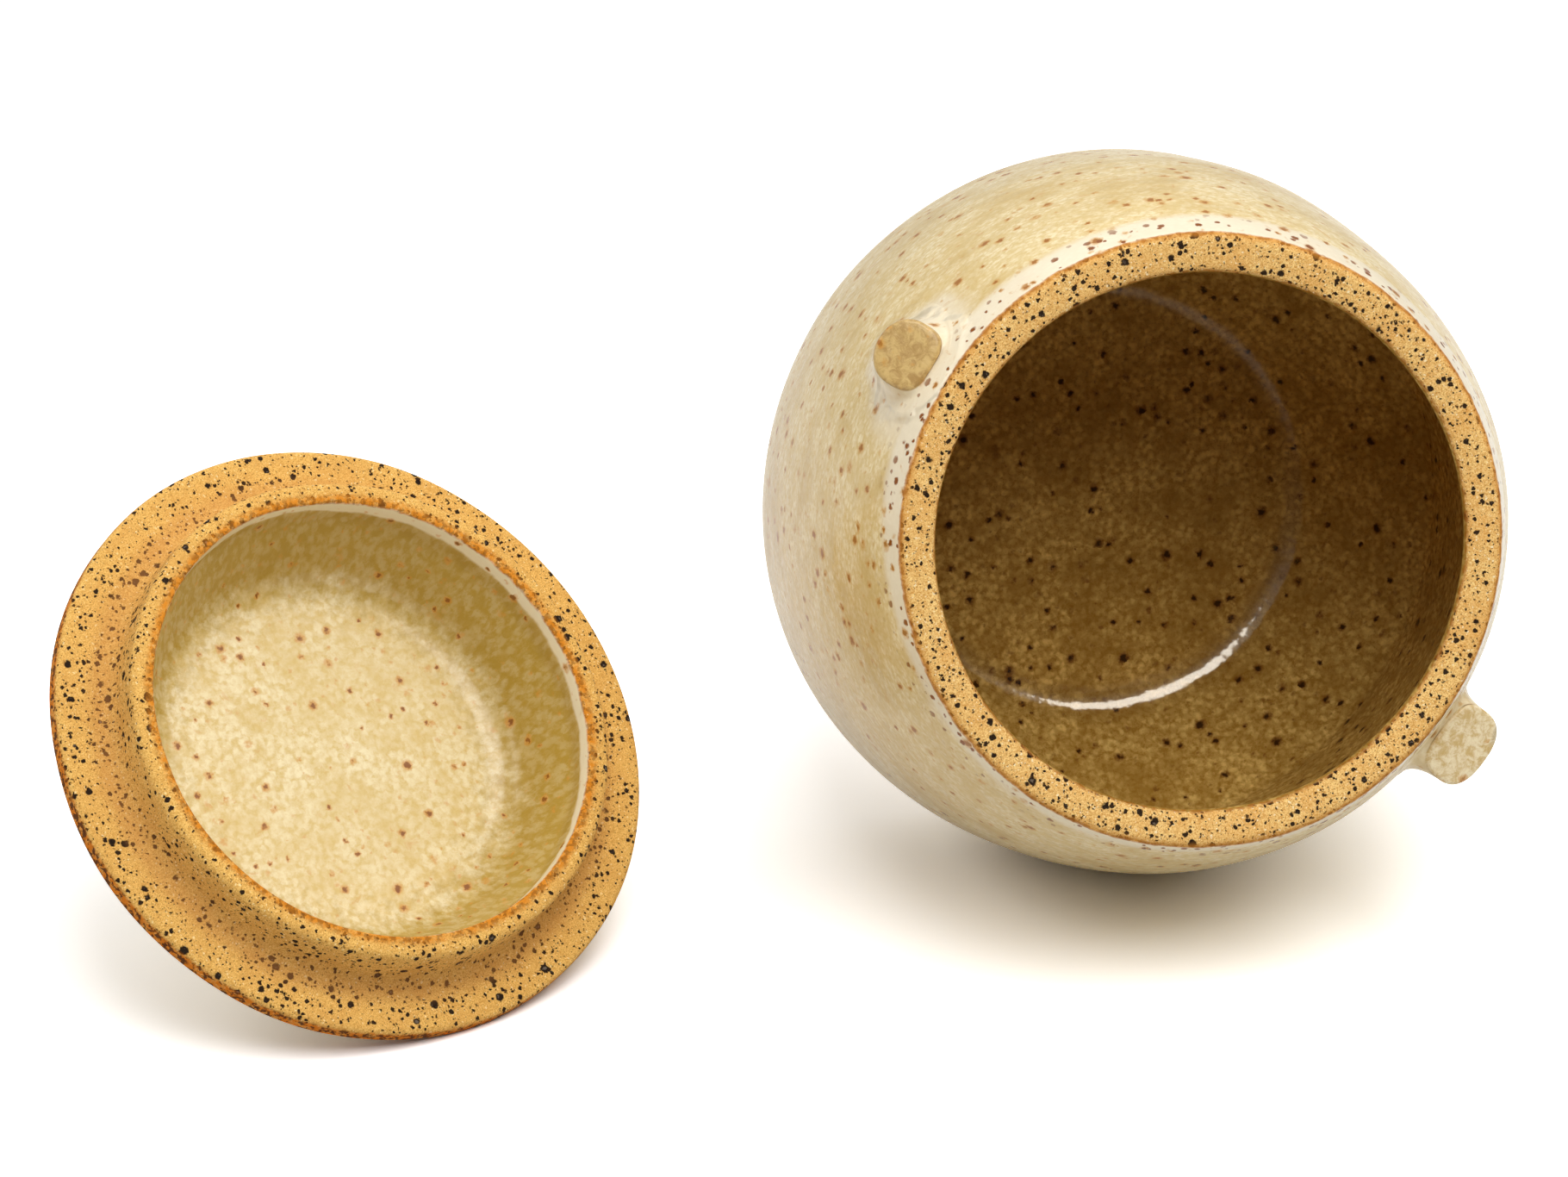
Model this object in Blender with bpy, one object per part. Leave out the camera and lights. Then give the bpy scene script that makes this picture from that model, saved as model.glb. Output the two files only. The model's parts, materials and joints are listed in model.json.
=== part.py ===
"""Squat stoneware storage jar with two lugs, lying on its belly, its knobbed lid beside it.

The jar and its lid are each drawn upright about their own axis, then laid down on the table.
All lengths are in metres and all angles are in degrees.
"""
import math
from collections import namedtuple

import bmesh
import bpy
from mathutils import Vector

# Jar wall, drawn upright with its foot at height zero
JAR_HEIGHT = 0.118
RIM_RADIUS = 0.065
RIM_WIDTH = 0.0082
RIM_OUTER_ROUND = 0.0024
RIM_INNER_ROUND = 0.0022
BELLY_RADIUS = 0.0796
BELLY_HEIGHT = 0.035
BELLY_WALL = 0.0068
FOOT_RADIUS = 0.056
FOOT_ROUND = 0.0015
FOOT_RING_WIDTH = 0.0075
FOOT_RECESS = 0.0036
FLOOR_HEIGHT = 0.0089
FLOOR_RADIUS = 0.0481
FLOOR_ROUND = 0.004
SHOULDER_FULLNESS = 2.45
BASE_FULLNESS = 2.5
INNER_BASE_FULLNESS = 1.3

# Lid, drawn upright with the flat underside of its flange at height zero
FLANGE_OVERHANG = 0.00325
FLANGE_EDGE = 0.0045
EDGE_ROUND = 0.0016
RING_CLEARANCE = 0.0013
RING_WIDTH = 0.005
RING_DEPTH = 0.012
RING_OUTER_ROUND = 0.0018
RING_INNER_ROUND = 0.001
BOWL_RISE = 0.0125
BOWL_SQUARENESS = 3.4
DOME_RISE = 0.022
DOME_FULLNESS = 2.2

# Knob on the lid
KNOB_HEIGHT = 0.0345
KNOB_TOP_RADIUS = 0.018
KNOB_WAIST_RADIUS = 0.0132
KNOB_ROOT_RADIUS = 0.0205
KNOB_WAIST_SHARE = 0.5
KNOB_LIP = 0.0006
KNOB_RIM = 0.0034

# Lugs on the shoulder, each a short stub with a flat end that looks up and out
LUG_RISE_ANGLE = 70.0
LUG_EDGE_ROUND = 0.0013
LUG_ROOT_WIDTH = 0.0246
LUG_ROOT_TOP = 0.0046
LUG_ROOT_BOTTOM = 0.039
LUG_INNER_SQUARENESS = 3.2
LUG_LEFT_TURN = 143.9
LUG_LEFT_DROP = 0.0094
LUG_LEFT_REACH = 0.0058
LUG_LEFT_WIDTH = 0.0148
LUG_LEFT_DEPTH = 0.013
LUG_LEFT_SQUARENESS = 2.1
LUG_RIGHT_TURN = -41.0
LUG_RIGHT_DROP = 0.01
LUG_RIGHT_REACH = 0.007
LUG_RIGHT_WIDTH = 0.0178
LUG_RIGHT_DEPTH = 0.0142
LUG_RIGHT_SQUARENESS = 2.5

# Layer of slip between a stuck-on piece and the wall that carries it
SLIP_GAP = 0.0003

# How the two loose parts lie on the table
JAR_LIFT_ANGLE = 18.4
JAR_SWING_ANGLE = 10.8
LID_SWING_ANGLE = 37.0
LID_ASIDE = 0.1821
LID_BACK = 0.0129

# Number of steps along the curves
AROUND = 64
KNOB_AROUND = 40
LUG_AROUND = 32
SHOULDER_STEPS = 9
BASE_STEPS = 8
BOWL_STEPS = 10
DOME_STEPS = 7
KNOB_CURVE_STEPS = 5
ROUND_STEPS = 3
LUG_ROUND_STEPS = 2
LUG_FLARE_STEPS = 7
LUG_CAP_SHARES = (0.7, 0.35)
KNOB_CAP_SHARES = (0.35, 0.7)
SEARCH_STEPS = 40

# Angle between faces above which an edge stays crisp
CRISP_ANGLE = 40.0

# Colours as linear red, green and blue, and how rough each surface is
GLAZE_COLOUR = (0.62, 0.52, 0.30)
LUG_COLOUR = (0.52, 0.43, 0.23)
CLAY_COLOUR = (0.62, 0.39, 0.14)
KNOB_COLOUR = (0.56, 0.46, 0.26)
GLAZE_ROUGHNESS = 0.3
CLAY_ROUGHNESS = 0.85


def clear_scene():
    """Remove whatever the scene holds before the jar is modelled."""
    for item in list(bpy.data.objects):
        bpy.data.objects.remove(item, do_unlink=True)


def ceramic(name, colour, roughness):
    """Make a material for one fired surface."""
    material = bpy.data.materials.new(name)
    material.use_nodes = True
    shader = material.node_tree.nodes["Principled BSDF"]
    shader.inputs["Base Color"].default_value = (*colour, 1.0)
    shader.inputs["Roughness"].default_value = roughness
    shader.inputs["Metallic"].default_value = 0.0
    return material


def add_piece(name, build, material, frame):
    """Turn a bmesh into a smooth shaded piece that stands in a frame."""
    bmesh.ops.recalc_face_normals(build, faces=build.faces)
    mesh = bpy.data.meshes.new(name)
    build.to_mesh(mesh)
    build.free()
    mesh.shade_smooth()
    mesh.set_sharp_from_angle(angle=math.radians(CRISP_ANGLE))
    mesh.materials.append(material)
    piece = bpy.data.objects.new(name, mesh)
    bpy.context.collection.objects.link(piece)
    piece.parent = frame
    return piece


def add_frame(name):
    """Add an empty that carries one loose part of the jar."""
    frame = bpy.data.objects.new(name, None)
    bpy.context.collection.objects.link(frame)
    return frame


def corner_arc(before, corner, after, radius, steps):
    """Points of the arc that rounds a corner of a profile."""
    corner = Vector(corner)
    back = (Vector(before) - corner).normalized()
    ahead = (Vector(after) - corner).normalized()
    half_angle = back.angle(ahead) / 2
    reach = radius / math.tan(half_angle)
    start = corner + back * reach
    end = corner + ahead * reach
    centre = corner + (back + ahead).normalized() * (radius / math.sin(half_angle))
    first = start - centre
    last = end - centre
    points = []
    for step in range(steps + 1):
        share = step / steps
        turn = math.pi - 2 * half_angle
        weight_first = math.sin((1 - share) * turn) / math.sin(turn)
        weight_last = math.sin(share * turn) / math.sin(turn)
        points.append(tuple(centre + first * weight_first + last * weight_last))
    return points


def rounded_profile(path):
    """Build a profile from (point, radius) pairs, rounding each corner that has a radius."""
    points = []
    for index, (point, radius) in enumerate(path):
        if radius:
            before = points[-1]
            after = path[index + 1][0]
            points.extend(corner_arc(before, point, after, radius, ROUND_STEPS))
        else:
            points.append(point)
    return points


def lathe(profile, segments):
    """Spin a profile of (radius, height) points that starts and ends on the axis."""
    build = bmesh.new()
    bottom = build.verts.new((0, 0, profile[0][1]))
    top = build.verts.new((0, 0, profile[-1][1]))
    rings = []
    for radius, height in profile[1:-1]:
        ring = []
        for step in range(segments):
            angle = math.tau * (step + 0.5) / segments
            ring.append(build.verts.new((radius * math.cos(angle), radius * math.sin(angle), height)))
        rings.append(ring)
    bridge_rings(build, rings)
    fan_ring(build, rings[0], bottom)
    fan_ring(build, rings[-1], top)
    return build


def bridge_rings(build, rings):
    """Join each ring of vertices to the next with a band of quads."""
    for lower, upper in zip(rings, rings[1:]):
        count = len(lower)
        for step in range(count):
            ahead = (step + 1) % count
            build.faces.new((lower[step], lower[ahead], upper[ahead], upper[step]))


def fan_ring(build, ring, centre):
    """Close a ring of vertices with triangles to one centre vertex."""
    count = len(ring)
    for step in range(count):
        build.faces.new((ring[step], ring[(step + 1) % count], centre))


def power_curve(wide, narrow, share, fullness):
    """Radius that leaves its widest value slowly and reaches the narrow one at a share of one."""
    return wide - (wide - narrow) * share ** fullness


def outer_wall_radius(height):
    """Outside radius of the jar at a height above its foot."""
    if height > BELLY_HEIGHT:
        share = (height - BELLY_HEIGHT) / (JAR_HEIGHT - BELLY_HEIGHT)
        return power_curve(BELLY_RADIUS, RIM_RADIUS, share, SHOULDER_FULLNESS)
    share = (BELLY_HEIGHT - height) / BELLY_HEIGHT
    return power_curve(BELLY_RADIUS, FOOT_RADIUS, share, BASE_FULLNESS)


def inner_wall_radius(height):
    """Inside radius of the jar at a height above its foot."""
    widest = BELLY_RADIUS - BELLY_WALL
    if height > BELLY_HEIGHT:
        share = (height - BELLY_HEIGHT) / (JAR_HEIGHT - BELLY_HEIGHT)
        return power_curve(widest, RIM_RADIUS - RIM_WIDTH, share, SHOULDER_FULLNESS)
    share = (BELLY_HEIGHT - height) / (BELLY_HEIGHT - FLOOR_HEIGHT)
    return power_curve(widest, FLOOR_RADIUS, share, INNER_BASE_FULLNESS)


def heights_between(low, high, steps):
    """Heights strictly between two levels, in rising order."""
    return [low + (high - low) * step / steps for step in range(1, steps)]


def jar_profile():
    """Section of the jar from the middle of its underside, up the outside and down the inside."""
    recess_radius = FOOT_RADIUS - FOOT_RING_WIDTH
    mouth_radius = RIM_RADIUS - RIM_WIDTH
    rising = heights_between(0, BELLY_HEIGHT, BASE_STEPS) + [BELLY_HEIGHT]
    rising += heights_between(BELLY_HEIGHT, JAR_HEIGHT - RIM_OUTER_ROUND, SHOULDER_STEPS)
    falling = heights_between(FLOOR_HEIGHT, BELLY_HEIGHT, BASE_STEPS) + [BELLY_HEIGHT]
    falling += heights_between(BELLY_HEIGHT, JAR_HEIGHT - RIM_INNER_ROUND, SHOULDER_STEPS)
    falling.reverse()
    path = [((0, FOOT_RECESS), 0), ((recess_radius / 2, FOOT_RECESS), 0)]
    path += [((recess_radius, FOOT_RECESS), FOOT_ROUND), ((recess_radius, 0), FOOT_ROUND)]
    path += [((FOOT_RADIUS, 0), FOOT_ROUND)]
    path += [((outer_wall_radius(height), height), 0) for height in rising]
    path += [((RIM_RADIUS, JAR_HEIGHT), RIM_OUTER_ROUND)]
    path += [((mouth_radius, JAR_HEIGHT), RIM_INNER_ROUND)]
    path += [((inner_wall_radius(height), height), 0) for height in falling]
    path += [((FLOOR_RADIUS, FLOOR_HEIGHT), FLOOR_ROUND)]
    path += [((FLOOR_RADIUS / 2, FLOOR_HEIGHT), 0), ((0, FLOOR_HEIGHT), 0)]
    return rounded_profile(path)


def flange_radius():
    """Radius of the lid's flange, which overhangs the rim."""
    return RIM_RADIUS + FLANGE_OVERHANG


def ring_outer_radius():
    """Radius of the ring under the lid, which drops into the mouth with a clearance."""
    return RIM_RADIUS - RIM_WIDTH - RING_CLEARANCE


def dome_height(radius):
    """Height of the lid's top surface at a radius."""
    share = radius / flange_radius()
    return power_curve(DOME_RISE, FLANGE_EDGE, share, DOME_FULLNESS)


def bowl_points():
    """Hollow under the lid, from its middle down to the mouth of the ring."""
    bowl_radius = ring_outer_radius() - RING_WIDTH
    depth = BOWL_RISE + RING_DEPTH
    power = 2 / BOWL_SQUARENESS
    points = []
    for step in range(1, BOWL_STEPS):
        angle = math.pi / 2 * step / BOWL_STEPS
        radius = bowl_radius * math.sin(angle) ** power
        height = depth * math.cos(angle) ** power - RING_DEPTH
        points.append((radius, height))
    return points


def lid_profile():
    """Section of the lid from the middle of its underside, round the flange and over the dome."""
    ring_outer = ring_outer_radius()
    ring_inner = ring_outer - RING_WIDTH
    cove = RING_CLEARANCE + RIM_INNER_ROUND
    edge = flange_radius()
    dome_start = edge - EDGE_ROUND
    path = [((0, BOWL_RISE), 0)]
    path += [(point, 0) for point in bowl_points()]
    path += [((ring_inner, -RING_DEPTH), RING_INNER_ROUND)]
    path += [((ring_outer, -RING_DEPTH), RING_OUTER_ROUND)]
    path += [((ring_outer, 0), cove)]
    path += [((edge, 0), EDGE_ROUND)]
    path += [((edge, FLANGE_EDGE), EDGE_ROUND)]
    for step in range(1, DOME_STEPS):
        radius = dome_start * (1 - step / DOME_STEPS)
        path.append(((radius, dome_height(radius)), 0))
    path += [((0, DOME_RISE), 0)]
    return rounded_profile(path)


def knob_side(radius_from, radius_to, height_from, height_to):
    """Quarter of a hollow curve that leaves upright and arrives flaring."""
    points = []
    for step in range(1, KNOB_CURVE_STEPS):
        angle = math.pi / 2 * step / KNOB_CURVE_STEPS
        radius = radius_from + (radius_to - radius_from) * (1 - math.cos(angle))
        height = height_from + (height_to - height_from) * math.sin(angle)
        points.append((radius, height))
    return points


def knob_profile():
    """Section of the knob, whose root follows the dome."""
    root_height = dome_height(KNOB_ROOT_RADIUS) + SLIP_GAP
    top_height = DOME_RISE + KNOB_HEIGHT
    waist_height = DOME_RISE + KNOB_HEIGHT * KNOB_WAIST_SHARE
    waist = (KNOB_WAIST_RADIUS, waist_height)
    lower = knob_side(KNOB_WAIST_RADIUS, KNOB_ROOT_RADIUS, waist_height, root_height + KNOB_LIP)
    rim_height = top_height - KNOB_RIM
    upper = knob_side(KNOB_WAIST_RADIUS, KNOB_TOP_RADIUS, waist_height, rim_height)
    lower.reverse()
    path = [((0, DOME_RISE + SLIP_GAP), 0)]
    for share in KNOB_CAP_SHARES:
        radius = KNOB_ROOT_RADIUS * share
        path.append(((radius, dome_height(radius) + SLIP_GAP), 0))
    path += [((KNOB_ROOT_RADIUS, root_height), 0)]
    path += [((KNOB_ROOT_RADIUS, root_height + KNOB_LIP), 0)]
    path += [(point, 0) for point in lower + [waist] + upper]
    path += [((KNOB_TOP_RADIUS, rim_height), 0), ((KNOB_TOP_RADIUS, top_height), EDGE_ROUND)]
    path += [((KNOB_TOP_RADIUS / 2, top_height), 0), ((0, top_height), 0)]
    return rounded_profile(path)


Lug = namedtuple("Lug", "turn drop reach width depth squareness")
LUG_LEFT = Lug(
    LUG_LEFT_TURN,
    LUG_LEFT_DROP,
    LUG_LEFT_REACH,
    LUG_LEFT_WIDTH,
    LUG_LEFT_DEPTH,
    LUG_LEFT_SQUARENESS,
)
LUG_RIGHT = Lug(
    LUG_RIGHT_TURN,
    LUG_RIGHT_DROP,
    LUG_RIGHT_REACH,
    LUG_RIGHT_WIDTH,
    LUG_RIGHT_DEPTH,
    LUG_RIGHT_SQUARENESS,
)


def signed_power(value, power):
    """Raise a value to a power and keep its sign."""
    return math.copysign(abs(value) ** power, value)


def lug_axes(turn):
    """Outward, sideways and end-facing directions of a lug."""
    outward = Vector((math.cos(math.radians(turn)), math.sin(math.radians(turn)), 0))
    sideways = Vector((-outward.y, outward.x, 0))
    rise = math.radians(LUG_RISE_ANGLE)
    facing = outward * math.cos(rise) + Vector((0, 0, math.sin(rise)))
    return outward, sideways, facing


def lug_end_ring(lug, inset, sunk):
    """Outline of the lug's flat end, straighter on the side that meets the wall."""
    outward, sideways, facing = lug_axes(lug.turn)
    height = JAR_HEIGHT - lug.drop
    centre = outward * (outer_wall_radius(height) + lug.reach) + Vector((0, 0, height))
    inward = facing.cross(sideways).normalized()
    if inward.dot(outward) > 0:
        inward.negate()
    ring = []
    for step in range(LUG_AROUND):
        angle = math.tau * step / LUG_AROUND
        shape = LUG_INNER_SQUARENESS if math.sin(angle) > 0 else lug.squareness
        across = (lug.width / 2 - inset) * signed_power(math.cos(angle), 2 / shape)
        along = (lug.depth / 2 - inset) * signed_power(math.sin(angle), 2 / shape)
        ring.append(keep_off_wall(centre + sideways * across + inward * along - facing * sunk))
    return ring


def wall_point(turn, across, height):
    """Point just off the jar's outside, at a distance sideways along the wall."""
    radius = outer_wall_radius(height) + SLIP_GAP
    angle = math.radians(turn) + across / radius
    return Vector((radius * math.cos(angle), radius * math.sin(angle), height))


def lug_root_ring(turn, share):
    """Outline on the wall, or a smaller copy of it, where the lug is stuck on."""
    middle = JAR_HEIGHT - (LUG_ROOT_TOP + LUG_ROOT_BOTTOM) / 2
    half_height = (LUG_ROOT_BOTTOM - LUG_ROOT_TOP) / 2
    ring = []
    for step in range(LUG_AROUND):
        angle = math.tau * step / LUG_AROUND
        across = LUG_ROOT_WIDTH / 2 * math.cos(angle) * share
        height = middle + half_height * math.sin(angle) * share
        ring.append(wall_point(turn, across, height))
    return ring


def wall_depth(point):
    """How far a point lies outside the slip on the jar's wall."""
    return math.hypot(point.x, point.y) - outer_wall_radius(point.z) - SLIP_GAP


def drop_to_wall(point, direction):
    """Follow a direction from a point until it meets the wall."""
    near = 0.0
    far = LUG_ROOT_BOTTOM
    for _ in range(SEARCH_STEPS):
        middle = (near + far) / 2
        if wall_depth(point + direction * middle) > 0:
            near = middle
        else:
            far = middle
    return point + direction * near


def lug_flare_rings(turn, end_ring):
    """Rings from the lug's end down to its root, hollowed where they spread on the wall."""
    outward, _, facing = lug_axes(turn)
    root_ring = lug_root_ring(turn, 1)
    bends = []
    for step, point in enumerate(end_ring):
        share = (1 - math.sin(math.tau * step / LUG_AROUND)) / 2
        direction = (facing * share + outward * (1 - share)).normalized()
        bends.append(drop_to_wall(point, -direction))
    rings = []
    for level in range(1, LUG_FLARE_STEPS):
        ahead = level / LUG_FLARE_STEPS
        ring = []
        for end, bend, root in zip(end_ring, bends, root_ring):
            point = end * (1 - ahead) ** 2 + bend * 2 * ahead * (1 - ahead) + root * ahead ** 2
            ring.append(keep_off_wall(point))
        rings.append(ring)
    rings.append(root_ring)
    return rings


def keep_off_wall(point):
    """Move a point out to the slip when it lies inside it."""
    lacking = -wall_depth(point)
    if lacking <= 0:
        return point
    radial = Vector((point.x, point.y, 0)).normalized()
    return point + radial * lacking


def add_lug(name, lug, material, frame):
    """Model one lug, from the middle of its end to the middle of its root."""
    rings = []
    for step in range(LUG_ROUND_STEPS + 1):
        angle = math.pi / 2 * step / LUG_ROUND_STEPS
        inset = LUG_EDGE_ROUND * (1 - math.sin(angle))
        sunk = LUG_EDGE_ROUND * (1 - math.cos(angle))
        rings.append(lug_end_ring(lug, inset, sunk))
    rings += lug_flare_rings(lug.turn, rings[-1])
    rings += [lug_root_ring(lug.turn, share) for share in LUG_CAP_SHARES]
    end_centre = sum(rings[0], Vector()) / LUG_AROUND
    root_centre = lug_root_ring(lug.turn, 0)[0]
    build = bmesh.new()
    vertices = [[build.verts.new(point) for point in ring] for ring in rings]
    bridge_rings(build, vertices)
    fan_ring(build, vertices[0], build.verts.new(end_centre))
    fan_ring(build, vertices[-1], build.verts.new(root_centre))
    return add_piece(name, build, material, frame)


def reach_when_leaning(profile, segments, angle):
    """How far below its own origin a spun profile reaches when it is upturned and leans over."""
    flat = math.cos(math.pi / segments)
    return max(radius * flat * math.sin(angle) + height * math.cos(angle) for radius, height in profile)


def lid_lean_angle():
    """Tilt at which the upturned lid rests on its flange edge and its knob alike."""
    low = 0.0
    high = math.pi / 2
    for _ in range(SEARCH_STEPS):
        middle = (low + high) / 2
        lid_reach = reach_when_leaning(lid_profile(), AROUND, middle)
        knob_reach = reach_when_leaning(knob_profile(), KNOB_AROUND, middle)
        if knob_reach > lid_reach:
            low = middle
        else:
            high = middle
    return (low + high) / 2


def world_points(pieces):
    """Every corner of some pieces, in the scene's frame."""
    bpy.context.view_layer.update()
    return [piece.matrix_world @ corner.co for piece in pieces for corner in piece.data.vertices]


def rest_on_table(frame, pieces):
    """Raise or lower a frame until its pieces just touch the table."""
    frame.location.z -= min(point.z for point in world_points(pieces))


def centre_on_table(frames, pieces):
    """Slide all frames so that the whole set is centred on the origin."""
    points = world_points(pieces)
    for axis in range(2):
        values = [point[axis] for point in points]
        middle = (min(values) + max(values)) / 2
        for frame in frames:
            frame.location[axis] -= middle


def build_jar(frame):
    """Model the thrown jar and stick its two lugs on."""
    glaze = ceramic("jar_glaze", GLAZE_COLOUR, GLAZE_ROUGHNESS)
    lug_left_glaze = ceramic("lug_left_glaze", LUG_COLOUR, GLAZE_ROUGHNESS)
    lug_right_glaze = ceramic("lug_right_glaze", LUG_COLOUR, GLAZE_ROUGHNESS)
    body = add_piece("jar_body", lathe(jar_profile(), AROUND), glaze, frame)
    left = add_lug("lug_left", LUG_LEFT, lug_left_glaze, frame)
    right = add_lug("lug_right", LUG_RIGHT, lug_right_glaze, frame)
    return [body, left, right]


def build_lid(frame):
    """Model the lid and stick its knob on."""
    clay = ceramic("lid_clay", CLAY_COLOUR, CLAY_ROUGHNESS)
    glaze = ceramic("knob_glaze", KNOB_COLOUR, GLAZE_ROUGHNESS)
    lid = add_piece("lid", lathe(lid_profile(), AROUND), clay, frame)
    knob = add_piece("lid_knob", lathe(knob_profile(), KNOB_AROUND), glaze, frame)
    return [lid, knob]


def lay_down_jar(frame):
    """Turn the jar until its mouth looks forward and a little up, with its rim at the origin."""
    frame.rotation_euler = (math.radians(90 - JAR_LIFT_ANGLE), 0, math.radians(JAR_SWING_ANGLE))
    bpy.context.view_layer.update()
    rim_centre = frame.matrix_world @ Vector((0, 0, JAR_HEIGHT))
    frame.location -= Vector((rim_centre.x, rim_centre.y, 0))


def lay_down_lid(frame):
    """Turn the lid upside down beside the jar, leaning on its flange edge and its knob."""
    frame.rotation_euler = (math.pi + lid_lean_angle(), 0, math.radians(LID_SWING_ANGLE))
    frame.location = (-LID_ASIDE, LID_BACK, 0)


def main():
    """Build both loose parts and set them on the table."""
    clear_scene()
    jar_frame = add_frame("jar_lying")
    lid_frame = add_frame("lid_lying")
    jar_pieces = build_jar(jar_frame)
    lid_pieces = build_lid(lid_frame)
    lay_down_jar(jar_frame)
    lay_down_lid(lid_frame)
    rest_on_table(jar_frame, jar_pieces)
    rest_on_table(lid_frame, lid_pieces)
    centre_on_table((jar_frame, lid_frame), jar_pieces + lid_pieces)


main()
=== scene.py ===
import json
import math
from collections import namedtuple

import bmesh
import bpy
from mathutils import Euler, Matrix, Vector, noise


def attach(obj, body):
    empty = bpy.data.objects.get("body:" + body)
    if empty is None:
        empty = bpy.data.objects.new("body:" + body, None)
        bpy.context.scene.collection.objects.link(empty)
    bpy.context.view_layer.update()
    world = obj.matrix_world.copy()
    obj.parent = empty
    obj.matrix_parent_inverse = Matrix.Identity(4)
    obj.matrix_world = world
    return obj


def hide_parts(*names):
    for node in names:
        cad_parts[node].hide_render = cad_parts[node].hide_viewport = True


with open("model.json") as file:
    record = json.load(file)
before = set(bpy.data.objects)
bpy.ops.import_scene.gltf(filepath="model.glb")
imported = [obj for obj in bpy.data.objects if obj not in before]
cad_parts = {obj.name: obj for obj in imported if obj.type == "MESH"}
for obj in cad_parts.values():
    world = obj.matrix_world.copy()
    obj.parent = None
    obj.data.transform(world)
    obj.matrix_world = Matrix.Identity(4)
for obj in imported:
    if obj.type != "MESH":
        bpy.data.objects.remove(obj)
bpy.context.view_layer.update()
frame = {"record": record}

# Jar in metres, with the main sizes of part.py but a rim and rounds of its own
JAR_HEIGHT = 0.118
RIM_RADIUS = 0.065
RIM_WIDTH = 0.0089
RIM_FALL = 0.0015
RIM_OUTER_ROUND = 0.0022
RIM_INNER_ROUND = 0.0020
BELLY_RADIUS = 0.0796
BELLY_HEIGHT = 0.035
BELLY_WALL = 0.0068
FOOT_RADIUS = 0.056
FOOT_ROUND = 0.0015
FOOT_RING_WIDTH = 0.0075
FOOT_RECESS = 0.0036
FLOOR_HEIGHT = 0.0089
FLOOR_RADIUS = 0.0481
FLOOR_ROUND = 0.009
SHOULDER_FULLNESS = 2.45
BASE_FULLNESS = 2.5
INNER_BASE_FULLNESS = 1.3
MOUTH_RADIUS = RIM_RADIUS - RIM_WIDTH
INNER_BELLY_RADIUS = BELLY_RADIUS - BELLY_WALL

# Lid in metres, with the main sizes of part.py but rounds and a hollow of its own
FLANGE_OVERHANG = 0.00325
FLANGE_RADIUS = RIM_RADIUS + FLANGE_OVERHANG
FLANGE_EDGE = 0.0045
EDGE_ROUND = 0.0014
CAD_RIM_WIDTH = 0.0082
RING_CLEARANCE = 0.0013
RING_WIDTH = 0.005
RING_OUTER = RIM_RADIUS - CAD_RIM_WIDTH - RING_CLEARANCE
RING_INNER = RING_OUTER - RING_WIDTH
RING_DEPTH = 0.012
RING_INNER_ROUND = 0.0008
RING_OUTER_ROUND = 0.0018
COVE_ROUND = 0.0034
BOWL_RISE = 0.0125
BOWL_CORNER = (0.0415, BOWL_RISE)
BOWL_CORNER_ROUND = 0.009
BOWL_SHOULDER = (0.0500, -0.0040)
BOWL_SHOULDER_ROUND = 0.006
DOME_RISE = 0.022
DOME_FULLNESS = 2.2

# Knob in metres, with the main sizes of part.py
KNOB_HEIGHT = 0.0345
KNOB_TOP = 0.018
KNOB_WAIST = 0.0132
KNOB_ROOT = 0.0205
KNOB_RIM = 0.0034
KNOB_ROUND = 0.0016
KNOB_SUNK = 0.002

# Lugs, with lengths in metres and the turn in degrees round the jar
LUG_RISE = math.radians(70)
Lug = namedtuple("Lug", "turn drop reach width depth squareness")
LUG_LEFT = Lug(143.9, 0.0094, 0.0058, 0.0148, 0.0130, 2.1)
LUG_RIGHT = Lug(-41.0, 0.0100, 0.0070, 0.0178, 0.0142, 2.5)
LUG_INNER_SQUARENESS = 3.2
LUG_EDGE = 0.0009
LUG_ROOT_WIDTH = 0.0246
LUG_ROOT_TOP = 0.0046
LUG_ROOT_BOTTOM = 0.039
SLIP = 0.00005

# Insets of the end face's rings as shares of the lug's depth, and (share, depth) of those past the root
CAP_INSETS = (0.44, 0.36, 0.28, 0.20)
ROOT_SKIRTS = ((1.04, 0.00008), (1.10, 0.00035))
CROWN_RINGS = 8
CROWN_EDGE = 0.9
CROWN_FADE = 0.25

# Where a lug counts as lying along the jar's profile, in millimetres, so that it takes the outer glaze
LUG_ALONG = 25.0

# How the two loose parts are turned, in degrees, and where their mounts lie on them, in metres
JAR_LIFT = 18.4
JAR_SWING = 10.8
LID_SWING = 37.0
FOOT_SPOT = Vector((0, 0.0522, 0))
FLANGE_SPOT = Vector((0.0628, 0, 0))

# Unevenness of the throwing: height in metres, middle and half width in degrees round the jar
Bulge = namedtuple("Bulge", "height bearing width")
BELLY_SWELL = Bulge(0.0006, -4, 30)
BELLY_DENT = Bulge(-0.0009, 46, 34)
MOUTH_PINCH = Bulge(-0.0008, 100, 95)
PINCH_DEPTH = 0.020
OUTSIDE_DEPTH = 0.003
BELLY_SHARPNESS = 1.5
JAR_WOBBLE = 0.00035
LID_WOBBLE = 0.0003
KNOB_WOBBLE = 0.0002
WAVES_AROUND = 2.2
WAVES_UP = 45
WAVES_ALONG = 8

# Fineness of the meshes
AROUND = 288
LUG_AROUND = 96
LONGEST_SPAN = 0.0022
KNOB_SPAN = 0.0018
BASE_STEPS = 24
FLOOR_STEPS = 20
STEPS_IN_FLOOR_ROUND = 3
SHOULDER_STEPS = 44
DOME_STEPS = 28
KNOB_STEPS = 18
LUG_EDGE_STEPS = 5
LUG_FLARE_STEPS = 24
SEARCH_STEPS = 40
TINY = 1e-6

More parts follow.
